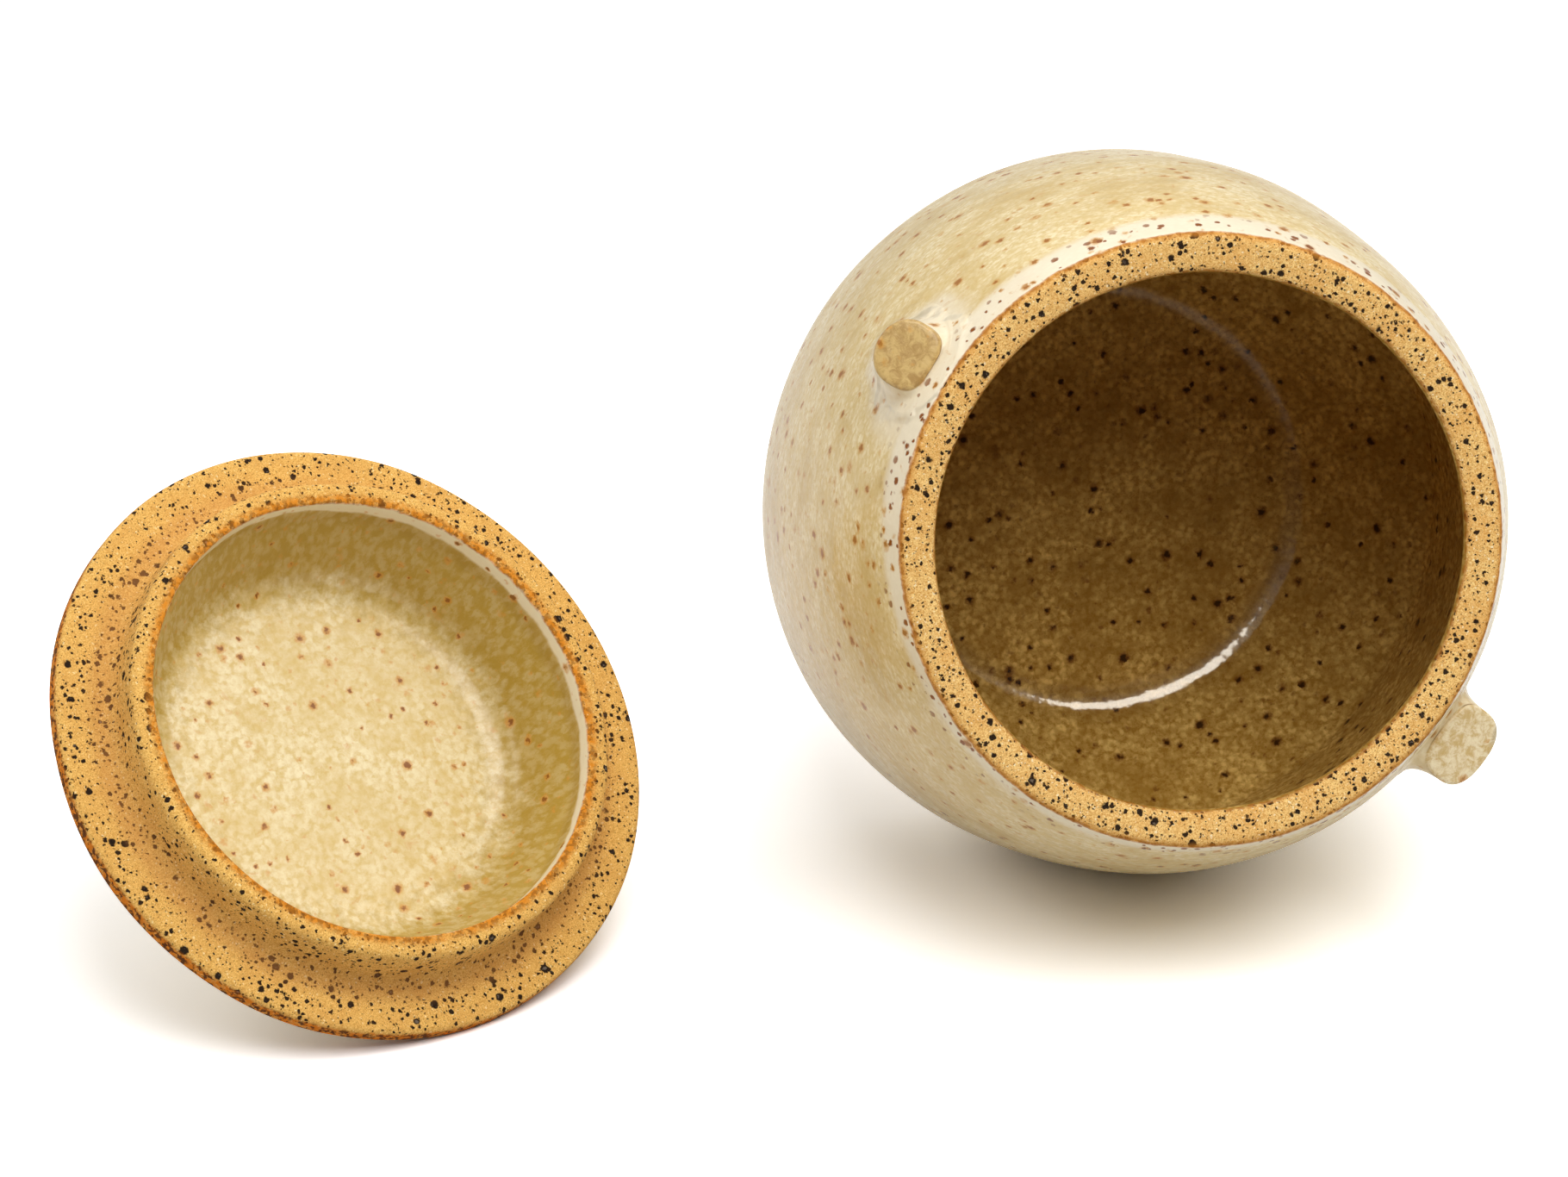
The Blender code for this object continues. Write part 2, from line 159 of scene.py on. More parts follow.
MM = 1000


# Places


def mount(name):
    return next(row for row in frame["record"]["mounts"] if row["name"] == name)


def laid_down(seat, spot, tilt, swing):
    """Matrix that tips and turns a loose part and sets a spot of its own on one of the frame's mounts."""
    turned = Euler((tilt, 0, math.radians(swing))).to_matrix().to_4x4()
    return Matrix.Translation(Vector(seat["pos_m"]) - turned @ spot) @ turned


lid_lean = math.acos(mount("lid_flange_seat")["axis"][2])
JAR_PLACE = laid_down(mount("foot"), FOOT_SPOT, math.radians(90 - JAR_LIFT), JAR_SWING)
LID_PLACE = laid_down(mount("lid_flange_seat"), FLANGE_SPOT, math.pi + lid_lean, LID_SWING)


# Shapes


def outer_wall(height):
    """Outside radius of the jar at a height above its foot."""
    if height > BELLY_HEIGHT:
        share = (height - BELLY_HEIGHT) / (JAR_HEIGHT - BELLY_HEIGHT)
        return BELLY_RADIUS - (BELLY_RADIUS - RIM_RADIUS) * share**SHOULDER_FULLNESS
    share = (BELLY_HEIGHT - height) / BELLY_HEIGHT
    return BELLY_RADIUS - (BELLY_RADIUS - FOOT_RADIUS) * share**BASE_FULLNESS


def inner_wall(height):
    """Inside radius of the jar at a height above its foot."""
    if height > BELLY_HEIGHT:
        share = (height - BELLY_HEIGHT) / (JAR_HEIGHT - BELLY_HEIGHT)
        return INNER_BELLY_RADIUS - (INNER_BELLY_RADIUS - MOUTH_RADIUS) * share**SHOULDER_FULLNESS
    share = (BELLY_HEIGHT - height) / (BELLY_HEIGHT - FLOOR_HEIGHT)
    return INNER_BELLY_RADIUS - (INNER_BELLY_RADIUS - FLOOR_RADIUS) * share**INNER_BASE_FULLNESS


def round_corner(before, corner, after, radius, steps=6):
    """Points of the arc that rounds a corner."""
    corner = Vector(corner)
    back = (Vector(before) - corner).normalized()
    ahead = (Vector(after) - corner).normalized()
    half = back.angle(ahead) / 2
    reach = radius / math.tan(half)
    start = corner + back * reach
    end = corner + ahead * reach
    centre = corner + (back + ahead).normalized() * (radius / math.sin(half))
    turn = math.pi - 2 * half
    points = []
    for step in range(steps + 1):
        share = step / steps
        first = math.sin((1 - share) * turn) / math.sin(turn)
        last = math.sin(share * turn) / math.sin(turn)
        points.append(tuple(centre + (start - centre) * first + (end - centre) * last))
    return points


def profile_from(path):
    """A profile from (point, rounding radius) pairs."""
    points = []
    for index, (point, radius) in enumerate(path):
        if radius:
            points.extend(round_corner(points[-1], point, path[index + 1][0], radius))
        else:
            points.append(point)
    return points


def refined(points, longest):
    """The same profile with no span longer than a length."""
    out = [points[0]]
    for a, b in zip(points, points[1:]):
        count = max(1, math.ceil(math.dist(a, b) / longest))
        for step in range(1, count + 1):
            share = step / count
            out.append((a[0] + (b[0] - a[0]) * share, a[1] + (b[1] - a[1]) * share))
    return out


def between(low, high, steps):
    return [low + (high - low) * step / steps for step in range(1, steps)]


def nearest_to(profile, spot):
    return min(range(len(profile)), key=lambda index: math.dist(profile[index], spot))


def uneven(angle, height, distance):
    """Slow noise round and along a thrown piece."""
    risen = height * WAVES_UP + distance * WAVES_ALONG
    return noise.noise(Vector((math.cos(angle) * WAVES_AROUND, math.sin(angle) * WAVES_AROUND, risen)))


def spin(name, profile, zero, place, material, body, node, wobble, lean=None):
    """Spins a (radius, height) profile from axis to axis, a little unevenly, as thrown clay is.

    Each vertex holds how many millimetres along the profile it lies from the point zero.
    """
    run = [0.0]
    for a, b in zip(profile, profile[1:]):
        run.append(run[-1] + math.dist(a, b))
    start = run[nearest_to(profile, zero)]
    build = bmesh.new()
    along = build.verts.layers.float.new("along")
    rings = []
    for (radius, height), distance in zip(profile, run):
        on_axis = radius <= TINY
        ring = []
        for step in range(1 if on_axis else AROUND):
            angle = math.tau * step / AROUND
            shift = 0.0
            if not on_axis:
                leaning = lean(angle, radius, height) if lean else 0.0
                shift = wobble * uneven(angle, height, distance) + leaning
            reach = radius + shift
            vert = build.verts.new((reach * math.cos(angle), reach * math.sin(angle), height))
            vert[along] = (distance - start) * MM
            ring.append(vert)
        rings.append(ring)
    for a, b in zip(rings, rings[1:]):
        bridge(build, a, b)
    return finish_piece(name, build, place, material, body, node)


def bridge(build, a, b):
    """Faces between two rings, one of which may be a single vertex."""
    around = max(len(a), len(b))
    for step in range(around):
        ahead = (step + 1) % around
        if len(a) == 1:
            build.faces.new((a[0], b[ahead], b[step]))
        elif len(b) == 1:
            build.faces.new((a[step], a[ahead], b[0]))
        else:
            build.faces.new((a[step], a[ahead], b[ahead], b[step]))


def finish_piece(name, build, place, material, body, node):
    """Stands a bmesh in its place, and keeps the piece's own coordinates in millimetres for its material."""
    bmesh.ops.recalc_face_normals(build, faces=build.faces)
    local = build.verts.layers.float_vector.new("local")
    for vert in build.verts:
        vert[local] = vert.co * MM
    build.transform(place)
    mesh = bpy.data.meshes.new(name)
    build.to_mesh(mesh)
    build.free()
    mesh.shade_smooth()
    mesh.materials.append(material)
    piece = bpy.data.objects.new(name, mesh)
    bpy.context.scene.collection.objects.link(piece)
    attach(piece, body)
    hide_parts(node)
    return piece


def signed_power(value, power):
    return math.copysign(abs(value) ** power, value)


def lug_directions(turn):
    """Outward and sideways at a bearing of the jar, and the way a lug's end face looks."""
    outward = Vector((math.cos(math.radians(turn)), math.sin(math.radians(turn)), 0))
    sideways = Vector((-outward.y, outward.x, 0))
    facing = outward * math.cos(LUG_RISE) + Vector((0, 0, math.sin(LUG_RISE)))
    return outward, sideways, facing


# Nodes


def srgb(red, green, blue):
    """A colour given as 0 to 255 in sRGB, as linear light."""
    out = []
    for value in (red, green, blue):
        value /= 255
        out.append(value / 12.92 if value <= 0.04045 else ((value + 0.055) / 1.055) ** 2.4)
    return (*out, 1.0)


class Graph:
    """A node tree, with one short method for each kind of node."""

    def __init__(self, tree):
        self.tree = tree

    def put(self, socket, value):
        if isinstance(value, bpy.types.NodeSocket):
            self.tree.links.new(value, socket)
        else:
            socket.default_value = value

    def node(self, kind, values=None, **settings):
        made = self.tree.nodes.new(kind)
        for key, value in settings.items():
            setattr(made, key, value)
        for key, value in (values or {}).items():
            self.put(made.inputs[key], value)
        return made

    def math(self, operation, a, b=0.0, c=None):
        values = {0: a, 1: b}
        if c is not None:
            values[2] = c
        return self.node("ShaderNodeMath", values, operation=operation).outputs[0]

    def times(self, a, b):
        return self.math("MULTIPLY", a, b)

    def vector_math(self, operation, a, b):
        return self.node("ShaderNodeVectorMath", {0: a, 1: b}, operation=operation).outputs

    def scaled(self, vector, factors):
        return self.vector_math("MULTIPLY", vector, factors)[0]

    def moved(self, vector, offset):
        return self.vector_math("ADD", vector, offset)[0]

    def split(self, vector):
        return self.node("ShaderNodeSeparateXYZ", {0: vector}).outputs

    def attribute(self, name):
        return self.node("ShaderNodeAttribute", attribute_name=name).outputs

    def ease(self, value, low, high, start=0.0, end=1.0):
        """A smooth step from start to end while value goes from low to high."""
        values = {"Value": value, "From Min": low, "From Max": high, "To Min": start, "To Max": end}
        return self.node("ShaderNodeMapRange", values, interpolation_type="SMOOTHSTEP").outputs[0]

    def band(self, value, low, full, fade, high):
        """Rises from 0 to 1 between low and full, and falls back between fade and high."""
        return self.times(self.ease(value, low, full), self.ease(value, high, fade))

    def blend(self, share, a, b):
        return self.node("ShaderNodeMix", {0: share, 6: a, 7: b}, data_type="RGBA").outputs[2]

    def tint(self, colour, mask, strength, over):
        """Lays a colour over another where a mask is high."""
        return self.blend(self.times(mask, strength), colour, over)

    def cloud(self, vector, size, detail=3.0, rough=0.55, twist=0.0):
        """Noise about 0.5, whose patches are about size across."""
        values = {"Vector": vector, "Scale": 1 / size}
        values |= {"Detail": detail, "Roughness": rough, "Distortion": twist}
        return self.node("ShaderNodeTexNoise", values).outputs["Fac"]

    def wander(self, vector, size, spread, detail=3.0, rough=0.55):
        """Noise about zero, which stays within half a spread on either side."""
        return self.times(self.math("SUBTRACT", self.cloud(vector, size, detail, rough), 0.5), spread)

    def jostled(self, vector, size, amount):
        """Coordinates shaken by noise, so that round marks turn ragged."""
        values = {"Vector": vector, "Scale": 1 / size, "Detail": 2.0}
        colour = self.node("ShaderNodeTexNoise", values).outputs["Color"]
        centred = self.vector_math("SUBTRACT", colour, (0.5, 0.5, 0.5))[0]
        return self.moved(vector, self.scaled(centred, (amount, amount, amount)))

    def specks(self, vector, speck, seed=0.0, crowd=1.0, grow=1.0):
        """Round specks, each in a cell of its own."""
        shifted = self.moved(vector, (seed, seed * 0.7, seed * 1.3))
        cells = self.node("ShaderNodeTexVoronoi", {"Vector": shifted, "Scale": 1 / speck.spacing})
        chance = self.node("ShaderNodeSeparateColor", {"Color": cells.outputs["Color"]})
        size = self.math("POWER", chance.outputs[0], 2.0)
        largest = speck.largest * grow
        radius = self.math("MULTIPLY_ADD", size, largest * (1 - speck.smallest), largest * speck.smallest)
        edge = self.times(radius, self.math("LESS_THAN", chance.outputs[1], speck.share * crowd))
        distance = self.times(cells.outputs["Distance"], speck.spacing)
        return self.ease(distance, self.math("ADD", edge, 1e-4), self.times(edge, 1 - speck.soft))


class Ceramic(Graph):
    """The material of a fired surface, with lengths in millimetres."""

    def __init__(self, name):
        self.material = bpy.data.materials.new(name)
        self.material.use_nodes = True
        super().__init__(self.material.node_tree)
        self.shader = self.tree.nodes["Principled BSDF"]
        self.place = self.attribute("local")["Vector"]

    def give(self, name, value):
        self.put(self.shader.inputs[name], value)

    def grooves(self, *layers):
        """Bump from (height, depth in millimetres) layers."""
        normal = None
        for height, depth in layers:
            made = self.node("ShaderNodeBump", {"Height": height, "Strength": 1.0, "Distance": depth / MM})
            if normal is not None:
                self.put(made.inputs["Normal"], normal)
            normal = made.outputs[0]
        self.give("Normal", normal)


# Specks: spacing of the cells, largest radius, share of cells that hold one, softness, smallest as a share
Speck = namedtuple("Speck", "spacing largest share soft smallest", defaults=(0.25,))
PALE_GRAIN = Speck(0.80, 0.34, 0.75, 0.5)
DUST = Speck(0.62, 0.22, 0.75, 0.4)
PEPPER = Speck(0.95, 0.40, 0.70, 0.3)
FINE_PIT = Speck(1.40, 0.70, 0.75, 0.25)
PIT_HALO = Speck(2.6, 1.45, 0.60, 0.8)
PIT = Speck(2.6, 1.10, 0.60, 0.25)
PIT_HOLLOW = Speck(2.6, 0.75, 0.60, 0.5)
RUST_HALO = Speck(3.8, 1.6, 0.60, 0.6, 0.5)
RUST_CORE = Speck(3.8, 0.95, 0.60, 0.5, 0.5)
RUST_FAINT = Speck(2.4, 1.0, 0.60, 0.9)
RIM_DOT = Speck(2.6, 1.2, 0.75, 0.4, 0.5)

# Bare clay
Clay = namedtuple("Clay", "sand shade toast pale seed crowd")
RIM_CLAY = Clay(srgb(255, 219, 144), srgb(210, 150, 72), srgb(226, 162, 80), srgb(255, 242, 204), 2.0, 1.25)
LID_CLAY = Clay(srgb(250, 204, 116), srgb(208, 150, 68), srgb(218, 160, 80), srgb(255, 232, 172), 8.0, 1.05)
DUST_COLOUR = srgb(120, 74, 36)
PEPPER_COLOUR = srgb(54, 30, 14)
FINE_PIT_COLOUR = srgb(32, 18, 10)
PIT_HALO_COLOUR = srgb(142, 84, 34)
PIT_COLOUR = srgb(26, 15, 9)
PIT_HOLLOW_COLOUR = srgb(112, 98, 84)

# Glazes
Glaze = namedtuple("Glaze", "cream olive deep seed stretch cell patches vein")
OUTER_GLAZE = Glaze(
    srgb(248, 232, 190), srgb(220, 191, 126), srgb(202, 168, 96),
    seed=0.0, stretch=(1.0, 1.0, 1.5), cell=1.5, patches=0.65, vein=(0.20, 0.62),
)
INNER_GLAZE = Glaze(
    srgb(228, 190, 108), srgb(150, 108, 36), srgb(148, 108, 38),
    seed=7.0, stretch=(1.0, 1.0, 0.8), cell=1.6, patches=0.55, vein=(0.20, 0.62),
)
BOWL_GLAZE = Glaze(
    srgb(246, 231, 188), srgb(218, 186, 108), srgb(222, 192, 120),
    seed=3.0, stretch=(1.0, 1.0, 0.45), cell=1.7, patches=0.45, vein=(0.30, 0.70),
)
DOME_GLAZE = Glaze(
    srgb(243, 228, 192), srgb(212, 186, 126), srgb(190, 158, 88),
    seed=12.0, stretch=(1.0, 1.0, 1.3), cell=1.5, patches=0.75, vein=(0.20, 0.62),
)
KNOB_GLAZE = Glaze(
    srgb(236, 220, 184), srgb(210, 186, 130), srgb(186, 156, 90),
    seed=20.0, stretch=(1.0, 1.0, 1.3), cell=1.5, patches=0.75, vein=(0.20, 0.62),
)
# White of the thick glaze beside the rim and round the lugs, also laid on the jar's upper side as a painted
# highlight
WHITE_GLAZE_AND_HIGHLIGHT = srgb(243, 231, 206)
LIP_GLAZE = srgb(250, 240, 214)
STREAK_GLAZE = srgb(180, 146, 58)

# Iron specks in the glazes
Rust = namedtuple("Rust", "dark warm seed crowd spacing grow")
OUTER_RUST = Rust(srgb(160, 98, 30), srgb(206, 152, 74), seed=4.0, crowd=0.80, spacing=3.8, grow=1.35)
INNER_RUST = Rust(srgb(40, 20, 6), srgb(112, 66, 20), seed=14.0, crowd=0.90, spacing=3.8, grow=1.25)
BOWL_RUST = Rust(srgb(132, 72, 14), srgb(212, 148, 58), seed=22.0, crowd=0.75, spacing=3.8, grow=1.1)
DOME_RUST = Rust(srgb(136, 80, 20), srgb(208, 150, 66), seed=17.0, crowd=0.70, spacing=3.4, grow=1.0)
KNOB_RUST = DOME_RUST._replace(seed=27.0)
DOT_COLOUR = srgb(136, 72, 12)

# The middle of the smeared clay round a lug: where its radius is taken and where it lies, below the rim
SMEAR_WALL_DROP = 0.012
SMEAR_DROP = 0.013

# Where bare clay ends on the jar's rim and on the lid, in millimetres along the profile
RIM_BARE = (-3.9, 4.7)
LID_BARE = (-0.6, 35.6)

# Roughness and specular level of glaze and of bare clay, and the glaze's index of refraction
GLAZE_ROUGHNESS = 0.22
LID_GLAZE_ROUGHNESS = 0.24
CLAY_ROUGHNESS = 0.88
GLAZE_SPECULAR = 0.5
CLAY_SPECULAR = 0.18
GLAZE_IOR = 1.5


# Surfaces


def clay_colour(g, clay):
    """Bare speckled stoneware: sandy grain, a dust of small dark specks and a few big pits."""
    seed = clay.seed
    place = g.jostled(g.place, size=0.8, amount=1.0)
    grain = g.cloud(g.moved(g.place, (seed, 0, 0)), size=0.34, detail=2.0, rough=0.8)
    crumb = g.cloud(g.moved(g.place, (0, 0, seed)), size=1.1, rough=0.65)
    patch = g.cloud(g.moved(g.place, (0, seed, 0)), size=8.0, rough=0.6)
    colour = g.blend(g.ease(grain, 0.36, 0.66), clay.sand, clay.shade)
    colour = g.blend(g.ease(crumb, 0.46, 0.70, 0.0, 0.55), colour, clay.shade)
    colour = g.blend(g.ease(patch, 0.38, 0.72, 0.0, 0.45), colour, clay.toast)
    colour = g.tint(colour, g.specks(place, PALE_GRAIN, seed + 31), 0.70, clay.pale)
    colour = g.tint(colour, g.specks(place, DUST, seed + 5, clay.crowd), 0.80, DUST_COLOUR)
    colour = g.tint(colour, g.specks(place, PEPPER, seed + 41, clay.crowd), 0.92, PEPPER_COLOUR)
    fine = g.specks(place, FINE_PIT, seed + 11, clay.crowd)
    colour = g.tint(colour, fine, 0.98, FINE_PIT_COLOUR)
    colour = g.tint(colour, g.specks(place, PIT_HALO, seed + 17, clay.crowd), 0.45, PIT_HALO_COLOUR)
    large = g.specks(place, PIT, seed + 17, clay.crowd)
    colour = g.tint(colour, large, 0.98, PIT_COLOUR)
    worn = g.ease(g.cloud(g.place, size=1.2, detail=2.0), 0.52, 0.64)
    colour = g.tint(colour, g.specks(place, PIT_HOLLOW, seed + 17, clay.crowd), worn, PIT_HOLLOW_COLOUR)
    return colour, grain, g.math("MAXIMUM", fine, large)


def glaze_colour(g, glaze):
    """Mottled glaze that breaks from cream to olive, in fine grains and in broad patches.

    Gives its colour, the coordinates that its pattern follows, and how far it has broken to olive.
    """
    place = g.scaled(g.moved(g.place, (glaze.seed, glaze.seed, 0)), glaze.stretch)
    broad = g.cloud(place, size=22.0, detail=4.0, rough=0.6)
    middle = g.cloud(place, size=7.5, detail=4.0, rough=0.65)
    shaken = g.jostled(place, size=glaze.cell * 0.9, amount=glaze.cell * 0.8)
    values = {"Vector": shaken, "Scale": 1 / glaze.cell, "Smoothness": 0.7}
    cells = g.node("ShaderNodeTexVoronoi", values, feature="SMOOTH_F1")
    grains = g.ease(cells.outputs["Distance"], *glaze.vein)
    cloudy = g.ease(g.cloud(shaken, size=glaze.cell * 0.7, rough=0.7), 0.40, 0.64)
    mottle = g.math("ADD", g.times(grains, 0.50), g.times(cloudy, 0.40))
    colour = g.blend(mottle, glaze.cream, glaze.olive)
    colour = g.blend(g.ease(middle, 0.40, 0.66, 0.0, glaze.patches), colour, glaze.olive)
    colour = g.blend(g.ease(broad, 0.40, 0.76, 0.0, glaze.patches), colour, glaze.deep)
    return colour, place, mottle


def rust_specks(g, colour, place, rust):
    """Iron specks with warm halos, and fainter smudges between them."""
    shaken = g.jostled(place, size=1.0, amount=1.5)
    halo = RUST_HALO._replace(spacing=rust.spacing)
    core = RUST_CORE._replace(spacing=rust.spacing)
    colour = g.tint(colour, g.specks(shaken, halo, rust.seed + 3, rust.crowd, rust.grow), 0.85, rust.warm)
    colour = g.tint(colour, g.specks(shaken, core, rust.seed + 3, rust.crowd, rust.grow), 0.90, rust.dark)
    colour = g.tint(colour, g.specks(shaken, RUST_FAINT, rust.seed + 9, rust.crowd), 0.60, rust.warm)
    smudge = g.cloud(g.moved(place, (0, rust.seed, 0)), size=4.5, detail=4.0, rough=0.6, twist=0.8)
    return g.blend(g.ease(smudge, 0.62, 0.76, 0.0, 0.45), colour, rust.warm)


def lug_smears(g, white_glaze_and_highlight, drift):
    """Thick white glaze over a mound of smeared clay round each lug; round the left lug, which faces up, the
    white is stronger as a painted highlight.
    """
    curl = g.wander(g.place, size=6.0, spread=8.0, detail=1.5, rough=0.5)
    mound = 0.0
    # The white round the left lug, on the jar's upper side, is stronger as a painted highlight
    for lug, glaze_and_highlight_strength in ((LUG_LEFT, 0.75), (LUG_RIGHT, 0.35)):
        outward, _, _ = lug_directions(lug.turn)
        centre = outward * outer_wall(JAR_HEIGHT - SMEAR_WALL_DROP) + Vector((0, 0, JAR_HEIGHT - SMEAR_DROP))
        away = g.vector_math("DISTANCE", g.place, tuple(centre * MM))["Value"]
        mound = g.math("ADD", mound, g.ease(g.math("ADD", away, curl), 15.0, 11.5))
        white_glaze_and_highlight = g.math("MAXIMUM", white_glaze_and_highlight, g.ease(g.math("ADD", away, drift), 20.0, 11.0, 0.0, glaze_and_highlight_strength))
    return white_glaze_and_highlight, mound


def lug_faces(g, colour):
    """The lugs' worn end faces, each with a darker line round it."""
    crown = g.attribute("crown")["Fac"]
    swirl = g.ease(g.cloud(g.place, size=2.2, detail=5.0, rough=0.75, twist=0.5), 0.36, 0.66)
    left = g.blend(swirl, srgb(206, 172, 104), srgb(166, 126, 60))
    right = g.blend(swirl, srgb(242, 226, 188), srgb(204, 168, 100))
    face = g.blend(g.ease(g.split(g.place)[0], -10.0, 10.0), left, right)
    colour = g.tint(colour, crown, 0.92, face)
    broken = g.ease(g.cloud(g.place, size=7.0, detail=2.0), 0.40, 0.60, 0.1, 0.8)
    return g.tint(colour, g.band(crown, 0.25, 0.70, 0.80, 0.98), broken, srgb(136, 104, 60))


def jar_outside(g, line):
    """Glaze that is thick and white beside the rim and round the lugs, and the mounds under it; the white
    band is widened on the jar's upper side as a painted highlight.
    """
    colour, _, _ = glaze_colour(g, OUTER_GLAZE)
    drift = g.wander(g.place, size=14.0, spread=16.0)
    white_glaze_and_highlight = g.ease(g.math("ADD", line, drift), 11.0, 4.0, 0.0, 0.5)
    # Painted highlight: the white band beside the rim reaches further on the jar's upper side, where the
    # light falls
    painted_highlight_widening = g.ease(g.split(g.place)[1], -35.0, 40.0, 0.0, 5.0)
    white_glaze_and_highlight = g.math("MAXIMUM", white_glaze_and_highlight, g.ease(g.math("SUBTRACT", line, painted_highlight_widening), 9.6, 6.4, 0.0, 0.82))
    white_glaze_and_highlight, mound = lug_smears(g, white_glaze_and_highlight, drift)
    colour = lug_faces(g, g.blend(white_glaze_and_highlight, colour, WHITE_GLAZE_AND_HIGHLIGHT))
    colour = rust_specks(g, colour, g.place, OUTER_RUST)
    dots = g.specks(g.jostled(g.place, size=0.8, amount=0.8), RIM_DOT, 51.0)
    return g.tint(colour, dots, g.band(line, 4.4, 5.2, 8.0, 16.0), DOT_COLOUR), mound


def jar_inside(g):
    """Darker glaze with darker specks inside the jar."""
    colour, _, _ = glaze_colour(g, INNER_GLAZE)
    return rust_specks(g, colour, g.place, INNER_RUST)


def rim_burns(g, colour, line):
    """The toasted outer edge of the rim, and the ragged brown lines where the glaze begins."""
    colour = g.tint(colour, g.band(line, 2.6, 4.3, 4.6, 5.0), 0.60, srgb(206, 134, 44))
    seam = g.math("MAXIMUM", g.band(line, 3.3, 4.1, 4.5, 5.0), g.band(line, -4.6, -4.0, -3.5, -2.9))
    ragged = g.ease(g.cloud(g.place, size=1.4), 0.35, 0.6)
    return g.tint(colour, g.times(seam, ragged), 0.70, srgb(166, 98, 28))


def jar_shine(g, along, line, bare):
    """Gloss on the glaze, most in the corner of the floor, and little higher inside and on clay."""
    corner = g.band(along, FLOOR_CORNER - 6.0, FLOOR_CORNER - 3.0, FLOOR_CORNER + 3.0, FLOOR_CORNER + 6.0)
    corner = g.times(corner, g.ease(g.split(g.place)[1], 12.0, -12.0, 0.25, 1.0))
    dull = g.math("MAXIMUM", g.ease(line, -3.5, -6.0), bare)
    level = g.math("SUBTRACT", GLAZE_SPECULAR, g.times(dull, GLAZE_SPECULAR - CLAY_SPECULAR))
    g.give("Specular Tint", (1.0, 0.94, 0.82, 1.0))
    g.give("Specular IOR Level", g.math("MAXIMUM", level, corner))
    g.give("IOR", g.math("MULTIPLY_ADD", corner, 0.25, GLAZE_IOR))
    glossy = g.math("SUBTRACT", GLAZE_ROUGHNESS, g.times(corner, 0.09))
    g.give("Roughness", g.math("MAXIMUM", glossy, g.times(bare, CLAY_ROUGHNESS)))


def jar_material(name):
    """Glaze outside, bare clay on the rim and the foot, darker glaze inside.

    The zones follow the distance along the profile from the rim's middle, inward below zero.
    """
    g = Ceramic(name)
    along = g.attribute("along")["Fac"]
    edge = g.wander(g.place, size=3.2, spread=1.5)
    line = g.math("ADD", along, edge)
    outside, mound = jar_outside(g, line)
    clay, grain, pits = clay_colour(g, RIM_CLAY)
    inward, outward = RIM_BARE
    height = g.math("ADD", g.split(g.place)[2], edge)
    foot = g.times(g.ease(height, 2.6, 2.0), g.ease(along, 20.0, 21.0))
    bare = g.math("MAXIMUM", g.band(line, inward, inward + 0.5, outward - 0.5, outward), foot)
    colour = g.blend(g.ease(line, -3.0, -2.0), jar_inside(g), outside)
    g.give("Base Color", rim_burns(g, g.blend(bare, colour, clay), line))
    jar_shine(g, along, line, bare)
    glazed = g.math("SUBTRACT", 1.0, bare)
    waves = {"Vector": g.jostled(g.place, size=9.0, amount=1.6)}
    waves |= {"Scale": 0.055, "Distortion": 1.2, "Detail": 2.0}
    rings = g.node("ShaderNodeTexWave", waves, bands_direction="Z").outputs["Fac"]
    g.grooves(
        (g.times(rings, glazed), 0.025),
        (g.times(mound, glazed), 0.9),
        (g.times(g.cloud(g.place, size=4.0, detail=2.0), glazed), 0.16),
        (g.times(g.math("SUBTRACT", grain, pits), bare), 0.12),
    )
    return g.material


def bowl_colour(g, along, line):
    """Cream glaze in the lid's hollow, olive streaks down its steep wall and a white lip under the ring."""
    colour, place, mottle = glaze_colour(g, BOWL_GLAZE)
    streaks = g.wander(place, size=3.0, spread=22.0, detail=4.0, rough=0.65)
    steep = g.ease(g.math("ADD", along, streaks), -36.0, -18.0)
    steep = g.times(steep, g.ease(along, -1.0, -6.0, 0.35, 1.0))
    colour = g.tint(colour, steep, g.ease(mottle, 0.0, 0.8, 0.74, 1.0), STREAK_GLAZE)
    sway = g.wander(g.place, size=18.0, spread=5.0, detail=2.0)
    colour = g.tint(colour, g.ease(g.math("ADD", line, sway), -4.4, -3.2), 0.9, LIP_GLAZE)
    return rust_specks(g, colour, g.place, BOWL_RUST)


def dome_colour(g):
    """Glaze over the lid's dome."""
    colour, place, _ = glaze_colour(g, DOME_GLAZE)
    return rust_specks(g, colour, place, DOME_RUST)


def lid_burns(g, colour, line):
    """Orange bands where the clay meets the glaze, with scorched crumbs on them."""
    inner = g.band(line, -1.0, -0.2, 0.6, 2.6)
    outer = g.band(line, 27.2, 28.3, 35.2, 36.0)
    ragged = g.ease(g.cloud(g.place, size=1.6), 0.35, 0.6)
    colour = g.tint(colour, inner, g.ease(ragged, 0.0, 1.0, 0.45, 0.95), srgb(220, 136, 32))
    colour = g.tint(colour, outer, g.ease(ragged, 0.0, 1.0, 0.50, 0.95), srgb(224, 124, 18))
    burnt = g.ease(g.cloud(g.place, size=1.3, rough=0.6), 0.48, 0.56)
    scorched = g.times(burnt, g.math("MAXIMUM", g.times(inner, 0.5), outer))
    return g.tint(colour, scorched, 0.9, srgb(72, 36, 12))


